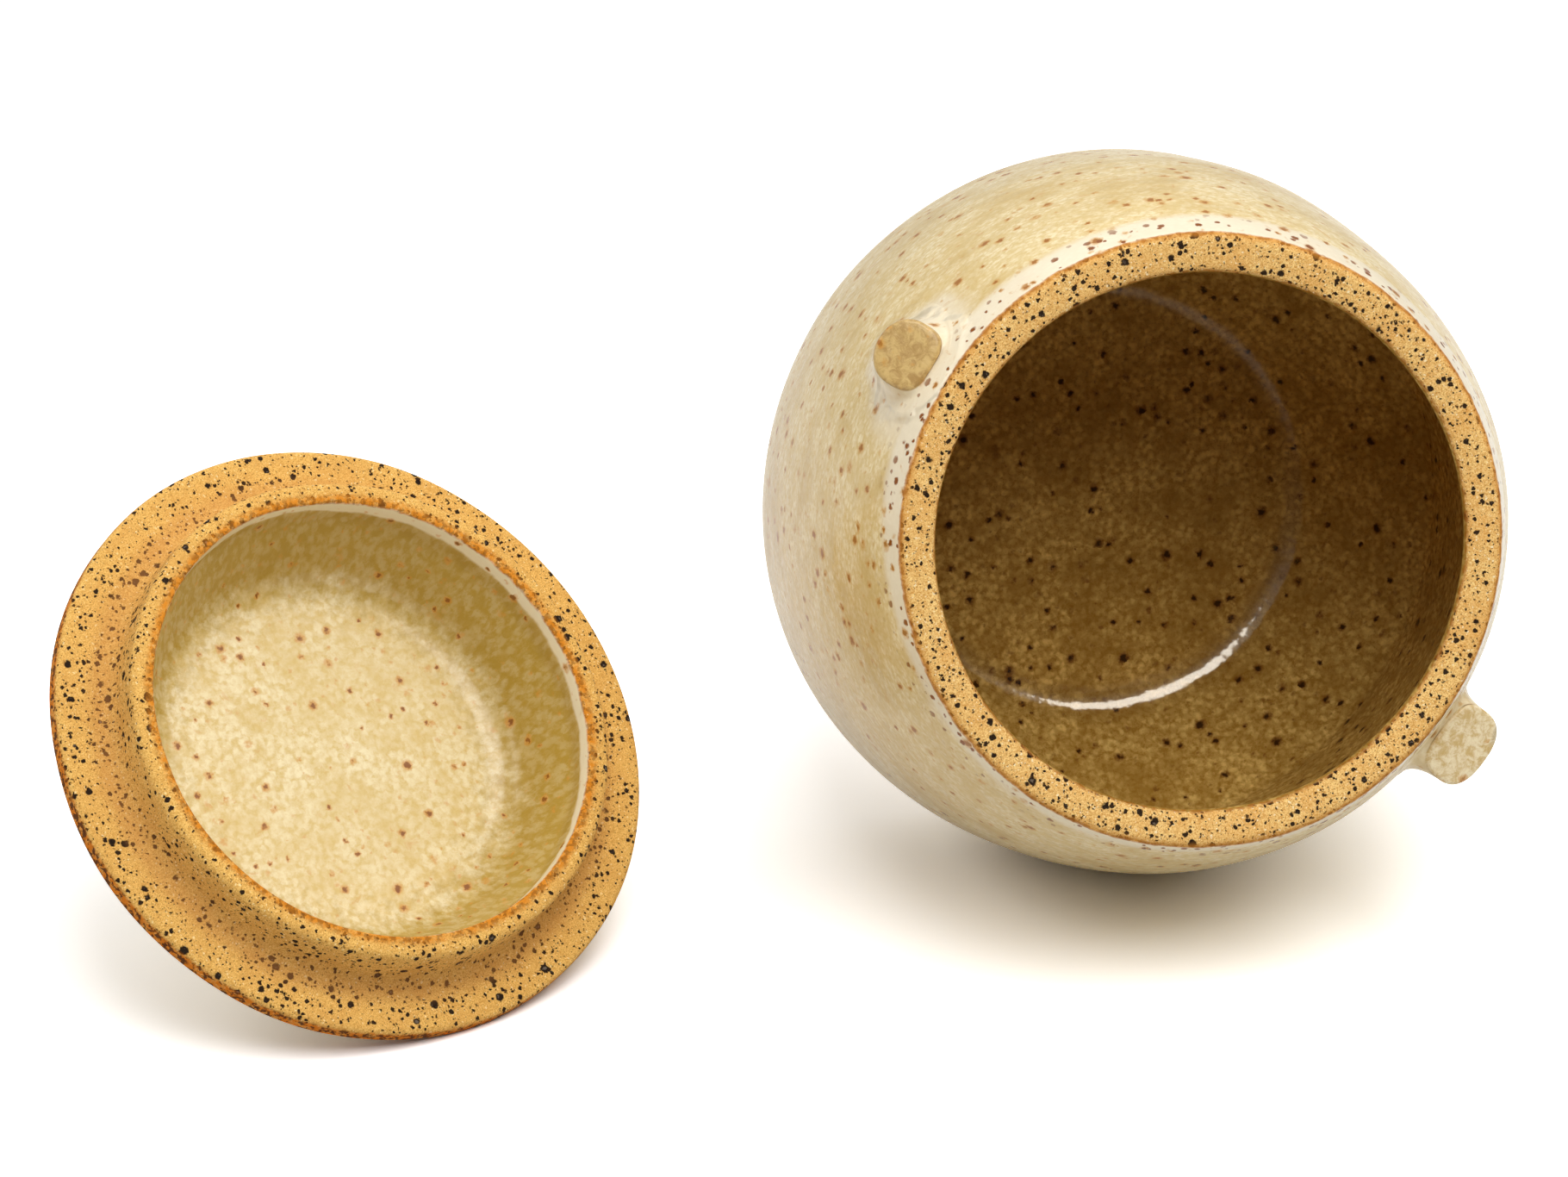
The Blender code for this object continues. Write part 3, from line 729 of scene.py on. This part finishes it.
def lid_material(name):
    """Bare clay on the flange and the ring, with painted shade on the ring's outer side and in the cove, and
    glaze in the hollow and over the dome.

    The zones follow the distance along the profile from the ring's inner edge, into the hollow below zero.
    """
    g = Ceramic(name)
    along = g.attribute("along")["Fac"]
    line = g.math("ADD", along, g.wander(g.place, size=3.0, spread=1.3))
    clay, grain, pits = clay_colour(g, LID_CLAY)
    # Painted shade: a brown tint on the ring's outer side and in the cove where it meets the flange
    clay = g.tint(clay, g.band(along, 11.0, 17.0, 18.0, 22.0), 0.35, srgb(186, 124, 66))
    inward, outward = LID_BARE
    bare = g.band(line, inward, inward + 0.6, outward - 0.6, outward)
    colour = g.blend(g.ease(line, 16.0, 18.0), bowl_colour(g, along, line), dome_colour(g))
    g.give("Base Color", lid_burns(g, g.blend(bare, colour, clay), line))
    g.give("Roughness", g.ease(bare, 0.0, 1.0, LID_GLAZE_ROUGHNESS, CLAY_ROUGHNESS))
    g.give("Specular IOR Level", g.ease(bare, 0.0, 1.0, GLAZE_SPECULAR, CLAY_SPECULAR))
    glazed = g.math("SUBTRACT", 1.0, bare)
    g.grooves(
        (g.times(g.cloud(g.place, size=3.0, detail=2.0), glazed), 0.14),
        (g.times(g.math("SUBTRACT", grain, pits), bare), 0.14),
    )
    return g.material


def knob_material(name):
    """Glaze that has run thin and brown at the edge of the knob's top."""
    g = Ceramic(name)
    colour, place, mottle = glaze_colour(g, KNOB_GLAZE)
    colour = rust_specks(g, colour, place, KNOB_RUST)
    rim = g.band(g.split(g.place)[2], 52.0, 54.5, 55.4, 56.4)
    ragged = g.ease(g.cloud(g.place, size=1.8), 0.35, 0.65)
    g.give("Base Color", g.tint(colour, g.times(rim, ragged), 0.6, srgb(186, 122, 56)))
    g.give("Roughness", g.ease(mottle, 0.3, 0.7, 0.20, 0.30))
    g.grooves((g.cloud(g.place, size=3.0, detail=2.0), 0.14))
    return g.material


# The jar


def jar_profile():
    """Section of the jar from the middle of its floor, up the inside and down the outside."""
    rising = between(0, BELLY_HEIGHT, BASE_STEPS) + [BELLY_HEIGHT]
    rising += between(BELLY_HEIGHT, JAR_HEIGHT - RIM_OUTER_ROUND, SHOULDER_STEPS)
    inside = between(FLOOR_HEIGHT, BELLY_HEIGHT, FLOOR_STEPS)[STEPS_IN_FLOOR_ROUND:] + [BELLY_HEIGHT]
    inside += between(BELLY_HEIGHT, JAR_HEIGHT - RIM_FALL - RIM_INNER_ROUND, SHOULDER_STEPS)
    recess = FOOT_RADIUS - FOOT_RING_WIDTH
    path = [((0, FLOOR_HEIGHT), 0), ((FLOOR_RADIUS / 2, FLOOR_HEIGHT), 0)]
    path += [((FLOOR_RADIUS, FLOOR_HEIGHT), FLOOR_ROUND)]
    path += [((inner_wall(height), height), 0) for height in inside]
    path += [((MOUTH_RADIUS, JAR_HEIGHT - RIM_FALL), RIM_INNER_ROUND)]
    path += [((RIM_RADIUS, JAR_HEIGHT), RIM_OUTER_ROUND)]
    path += [((outer_wall(height), height), 0) for height in reversed(rising)]
    path += [((FOOT_RADIUS, 0), FOOT_ROUND), ((recess, 0), FOOT_ROUND), ((recess, FOOT_RECESS), FOOT_ROUND)]
    path += [((recess / 2, FOOT_RECESS), 0), ((0, FOOT_RECESS), 0)]
    return refined(profile_from(path), LONGEST_SPAN)


def rise(angle, bulge):
    """How high a bulge stands at an angle round the jar."""
    off = abs((math.degrees(angle) - bulge.bearing + 180) % 360 - 180)
    return bulge.height * (0.5 + 0.5 * math.cos(math.pi * min(1.0, off / bulge.width)))


def jar_lean(angle, radius, height):
    """The throwing isn't quite even: the belly is flatter at the upper right, the mouth is narrower above."""
    if radius > outer_wall(height) - OUTSIDE_DEPTH:
        belly = math.sin(math.pi * min(1.0, max(0.0, height / JAR_HEIGHT))) ** BELLY_SHARPNESS
        return belly * (rise(angle, BELLY_SWELL) + rise(angle, BELLY_DENT))
    near_rim = max(0.0, 1 - (JAR_HEIGHT - height) / PINCH_DEPTH)
    return near_rim * rise(angle, MOUTH_PINCH)


def run_to_corner():
    """Run along the profile in millimetres from the rim's middle in to the floor's corner, below zero."""
    points = jar_profile()
    corner = nearest_to(points, (FLOOR_RADIUS, FLOOR_HEIGHT))
    middle = nearest_to(points, rim_middle)
    return -MM * sum(math.dist(a, b) for a, b in zip(points[corner:middle], points[corner + 1 : middle + 1]))


rim_middle = ((RIM_RADIUS + MOUTH_RADIUS) / 2, JAR_HEIGHT - RIM_FALL / 2)
FLOOR_CORNER = run_to_corner()
stoneware = jar_material("jar stoneware")
spin("thrown_jar", jar_profile(), rim_middle, JAR_PLACE, stoneware, "jar", "jar_body", JAR_WOBBLE, jar_lean)


# The lugs


def lug_outline(lug, inset, sunk):
    """Outline of a lug's end face, drawn in by an inset and sunk below the face."""
    outward, sideways, facing = lug_directions(lug.turn)
    height = JAR_HEIGHT - lug.drop
    centre = outward * (outer_wall(height) + lug.reach) + Vector((0, 0, height))
    inward = facing.cross(sideways).normalized()
    if inward.dot(outward) > 0:
        inward.negate()
    ring = []
    for step in range(LUG_AROUND):
        angle = math.tau * step / LUG_AROUND
        shape = LUG_INNER_SQUARENESS if math.sin(angle) > 0 else lug.squareness
        across = (lug.width / 2 - inset) * signed_power(math.cos(angle), 2 / shape)
        along = (lug.depth / 2 - inset) * signed_power(math.sin(angle), 2 / shape)
        ring.append(off_wall(centre + sideways * across + inward * along - facing * sunk))
    return ring


def lug_root(turn, share, sink=0.0):
    """A ring on the jar's wall, where the smeared root of a lug ends."""
    middle = JAR_HEIGHT - (LUG_ROOT_TOP + LUG_ROOT_BOTTOM) / 2
    half = (LUG_ROOT_BOTTOM - LUG_ROOT_TOP) / 2
    ring = []
    for step in range(LUG_AROUND):
        angle = math.tau * step / LUG_AROUND
        across = LUG_ROOT_WIDTH / 2 * math.cos(angle) * share
        height = middle + half * math.sin(angle) * share
        radius = outer_wall(height) - sink
        bearing = math.radians(turn) + across / radius
        ring.append(Vector((radius * math.cos(bearing), radius * math.sin(bearing), height)))
    return ring


def clearance(point):
    """How far a point stands off the jar's wall and its slip."""
    return math.hypot(point.x, point.y) - outer_wall(point.z) - SLIP


def to_wall(point, direction):
    """The spot where a line from a point meets the wall."""
    near, far = 0.0, LUG_ROOT_BOTTOM
    for _ in range(SEARCH_STEPS):
        middle = (near + far) / 2
        if clearance(point + direction * middle) > 0:
            near = middle
        else:
            far = middle
    return point + direction * near


def off_wall(point):
    """The same point, moved out where it would lie in the wall."""
    lacking = -clearance(point)
    if lacking <= 0:
        return point
    return point + Vector((point.x, point.y, 0)).normalized() * lacking


def lug_rings(lug):
    """Rings of a lug from its end face, round its edge and down into the root that spreads on the wall."""
    rings = [lug_outline(lug, lug.depth * inset, 0.0) for inset in CAP_INSETS]
    for step in range(LUG_EDGE_STEPS + 1):
        angle = math.pi / 2 * step / LUG_EDGE_STEPS
        rings.append(lug_outline(lug, LUG_EDGE * (1 - math.sin(angle)), LUG_EDGE * (1 - math.cos(angle))))
    outward, _, facing = lug_directions(lug.turn)
    end = rings[-1]
    root = lug_root(lug.turn, 1)
    bends = []
    for step, point in enumerate(end):
        share = (1 - math.sin(math.tau * step / LUG_AROUND)) / 2
        bends.append(to_wall(point, -(facing * share + outward * (1 - share)).normalized()))
    for level in range(1, LUG_FLARE_STEPS):
        ahead = level / LUG_FLARE_STEPS
        rings.append([
            off_wall(e * (1 - ahead) ** 2 + b * 2 * ahead * (1 - ahead) + r * ahead**2)
            for e, b, r in zip(end, bends, root)
        ])
    rings.append(root)
    return rings + [lug_root(lug.turn, share, depth) for share, depth in ROOT_SKIRTS]


def nearness(level):
    """How near one of a lug's rings is to its end face, from 1 down to 0."""
    if level < CROWN_RINGS:
        return 1.0
    return max(0.0, CROWN_EDGE - (level - CROWN_RINGS) * CROWN_FADE)


def make_lug(name, lug, node, material):
    """A lug whose vertices hold how near they are to its end face, and a place along the glazed wall."""
    rings = lug_rings(lug)
    build = bmesh.new()
    along = build.verts.layers.float.new("along")
    crown = build.verts.layers.float.new("crown")
    verts = [[build.verts.new(point) for point in ring] for ring in rings]
    middle = build.verts.new(sum(rings[0], Vector()) / LUG_AROUND)
    middle[along] = LUG_ALONG
    middle[crown] = 1.0
    for level, ring in enumerate(verts):
        for vert in ring:
            vert[along] = LUG_ALONG
            vert[crown] = nearness(level)
    for a, b in zip(verts, verts[1:]):
        bridge(build, a, b)
    bridge(build, [middle], verts[0])
    return finish_piece(name, build, JAR_PLACE, material, "jar", node)


make_lug("left_lug", LUG_LEFT, "lug_left", stoneware)
make_lug("right_lug", LUG_RIGHT, "lug_right", stoneware)


# The lid


def dome(radius):
    """Height of the lid's top at a radius."""
    return DOME_RISE - (DOME_RISE - FLANGE_EDGE) * (radius / FLANGE_RADIUS) ** DOME_FULLNESS


def lid_profile():
    """Section of the lid from the middle of its hollow, round the ring and the flange and over the dome."""
    path = [((0, BOWL_RISE), 0), ((BOWL_CORNER[0] / 2, BOWL_RISE), 0)]
    path += [(BOWL_CORNER, BOWL_CORNER_ROUND), (BOWL_SHOULDER, BOWL_SHOULDER_ROUND)]
    path += [((RING_INNER, -RING_DEPTH), RING_INNER_ROUND), ((RING_OUTER, -RING_DEPTH), RING_OUTER_ROUND)]
    path += [((RING_OUTER, 0), COVE_ROUND)]
    path += [((FLANGE_RADIUS, 0), EDGE_ROUND), ((FLANGE_RADIUS, FLANGE_EDGE), EDGE_ROUND)]
    for step in range(1, DOME_STEPS):
        radius = (FLANGE_RADIUS - EDGE_ROUND) * (1 - step / DOME_STEPS)
        path.append(((radius, dome(radius)), 0))
    path.append(((0, DOME_RISE), 0))
    return refined(profile_from(path), LONGEST_SPAN)


def knob_side(radius, height, step):
    """Point on a hollow curve that leaves the knob's waist upright and flares to a radius at a height."""
    angle = math.pi / 2 * step / KNOB_STEPS
    waist = DOME_RISE + KNOB_HEIGHT / 2
    flared = KNOB_WAIST + (radius - KNOB_WAIST) * (1 - math.cos(angle))
    return flared, waist + (height - waist) * math.sin(angle)


def knob_profile():
    """Section of the knob from the middle of its root, up its side and over its top."""
    top = DOME_RISE + KNOB_HEIGHT
    root = dome(KNOB_ROOT)
    path = [((0, root - KNOB_SUNK), 0), ((KNOB_ROOT * 0.9, root - KNOB_SUNK), 0), ((KNOB_ROOT, root), 0)]
    path += [(knob_side(KNOB_ROOT, root, step), 0) for step in reversed(range(KNOB_STEPS))]
    path += [(knob_side(KNOB_TOP, top - KNOB_RIM, step), 0) for step in range(1, KNOB_STEPS)]
    path += [((KNOB_TOP, top - KNOB_RIM), 0), ((KNOB_TOP, top), KNOB_ROUND)]
    path += [((KNOB_TOP / 2, top), 0), ((0, top), 0)]
    return refined(profile_from(path), KNOB_SPAN)


ring_edge = (RING_INNER, -RING_DEPTH)
knob_foot = (0, DOME_RISE)
lid_clay = lid_material("lid stoneware")
knob_glaze = knob_material("knob glaze")
spin("thrown_lid", lid_profile(), ring_edge, LID_PLACE, lid_clay, "lid", "lid", LID_WOBBLE)
spin("turned_knob", knob_profile(), knob_foot, LID_PLACE, knob_glaze, "lid", "lid_knob", KNOB_WOBBLE)


# Studio

PAPER = (0.67, 0.66, 0.63, 1)
PAPER_TO_CAMERA = (1.54, 1.54, 1.54, 1)
GLOW_STARTS = 0.42
GLOW_FULL = 0.70
LAMP_TARGET = (0.0, 0.0, 0.05)
CAMERA_PLACE = (-0.00045, -1.37299, 0.70319)
CAMERA_DOWN = 24.66
CAMERA_LENS = 158.24


def floor_material():
    """A floor that looks white to the camera round the shadows, and glows far out."""
    material = bpy.data.materials.new("paper")
    material.use_nodes = True
    g = Graph(material.node_tree)
    g.tree.nodes.clear()
    ray = g.node("ShaderNodeLightPath").outputs
    mirrored = g.math("MAXIMUM", ray["Is Glossy Ray"], ray["Is Transmission Ray"])
    seen = g.math("MULTIPLY_ADD", mirrored, 0.3, ray["Is Camera Ray"])
    plain = g.node("ShaderNodeBsdfDiffuse", {"Color": PAPER}).outputs[0]
    bright = g.node("ShaderNodeBsdfDiffuse", {"Color": PAPER_TO_CAMERA}).outputs[0]
    paper = g.node("ShaderNodeMixShader", {0: seen, 1: plain, 2: bright}).outputs[0]
    spot = g.node("ShaderNodeTexCoord").outputs["Object"]
    reach = g.node("ShaderNodeVectorMath", {0: spot}, operation="LENGTH").outputs["Value"]
    span = {"Value": reach, "From Min": GLOW_STARTS, "From Max": GLOW_FULL}
    far = g.node("ShaderNodeMapRange", span).outputs[0]
    glow = g.node("ShaderNodeEmission").outputs[0]
    glowing = g.times(far, ray["Is Camera Ray"])
    surface = g.node("ShaderNodeMixShader", {0: glowing, 1: paper, 2: glow}).outputs[0]
    g.node("ShaderNodeOutputMaterial", {"Surface": surface})
    return material


def make_floor():
    bpy.ops.mesh.primitive_plane_add(size=12, location=(0, 0, 0))
    made = bpy.context.object
    made.name = "floor"
    made.data.materials.append(floor_material())
    return made


def make_world():
    """Soft light from above and from behind the object, and plain white to the camera."""
    world = bpy.data.worlds.new("studio")
    bpy.context.scene.world = world
    world.use_nodes = True
    g = Graph(world.node_tree)
    direction = g.split(g.node("ShaderNodeTexCoord").outputs["Generated"])
    above = {"Value": direction[2], "From Min": 0.35, "To Min": 0.02, "To Max": 0.60}
    behind = {"Value": direction[1], "From Min": -0.55, "From Max": 0.45, "To Max": 0.42}
    ramps = [g.node("ShaderNodeMapRange", values).outputs[0] for values in (above, behind)]
    sky = g.math("MAXIMUM", *ramps)
    to_camera = g.node("ShaderNodeLightPath").outputs["Is Camera Ray"]
    background = g.tree.nodes["Background"]
    g.put(background.inputs["Color"], (1, 1, 1, 1))
    g.put(background.inputs["Strength"], g.node("ShaderNodeMix", {0: to_camera, 2: sky, 3: 1.0}).outputs[0])


def softbox(name, size, power, place):
    data = bpy.data.lights.new(name, "AREA")
    data.shape = "RECTANGLE"
    data.size, data.size_y = size
    data.energy = power
    lamp = bpy.data.objects.new(name, data)
    bpy.context.scene.collection.objects.link(lamp)
    lamp.location = place
    lamp.rotation_euler = (Vector(LAMP_TARGET) - Vector(place)).to_track_quat("-Z", "Y").to_euler()


def make_camera():
    """The photo's viewing angle."""
    data = bpy.data.cameras.new("camera")
    data.sensor_width = 36
    data.lens = CAMERA_LENS
    data.clip_end = 50
    made = bpy.data.objects.new("camera", data)
    bpy.context.scene.collection.objects.link(made)
    made.location = CAMERA_PLACE
    made.rotation_euler = (math.radians(90 - CAMERA_DOWN), 0, 0)
    bpy.context.scene.camera = made
    return made


floor = make_floor()
make_world()
softbox("key", (0.9, 0.9), 11.0, (0.22, -0.60, 1.12))
softbox("top", (1.2, 0.7), 1.8, (0.10, 0.50, 1.0))
softbox("left side", (0.8, 0.8), 3.6, (-1.0, -0.2, 0.78))
softbox("right side", (0.8, 0.8), 3.0, (1.0, 0.1, 0.85))
camera = make_camera()

bpy.context.scene.view_settings.view_transform = "Standard"
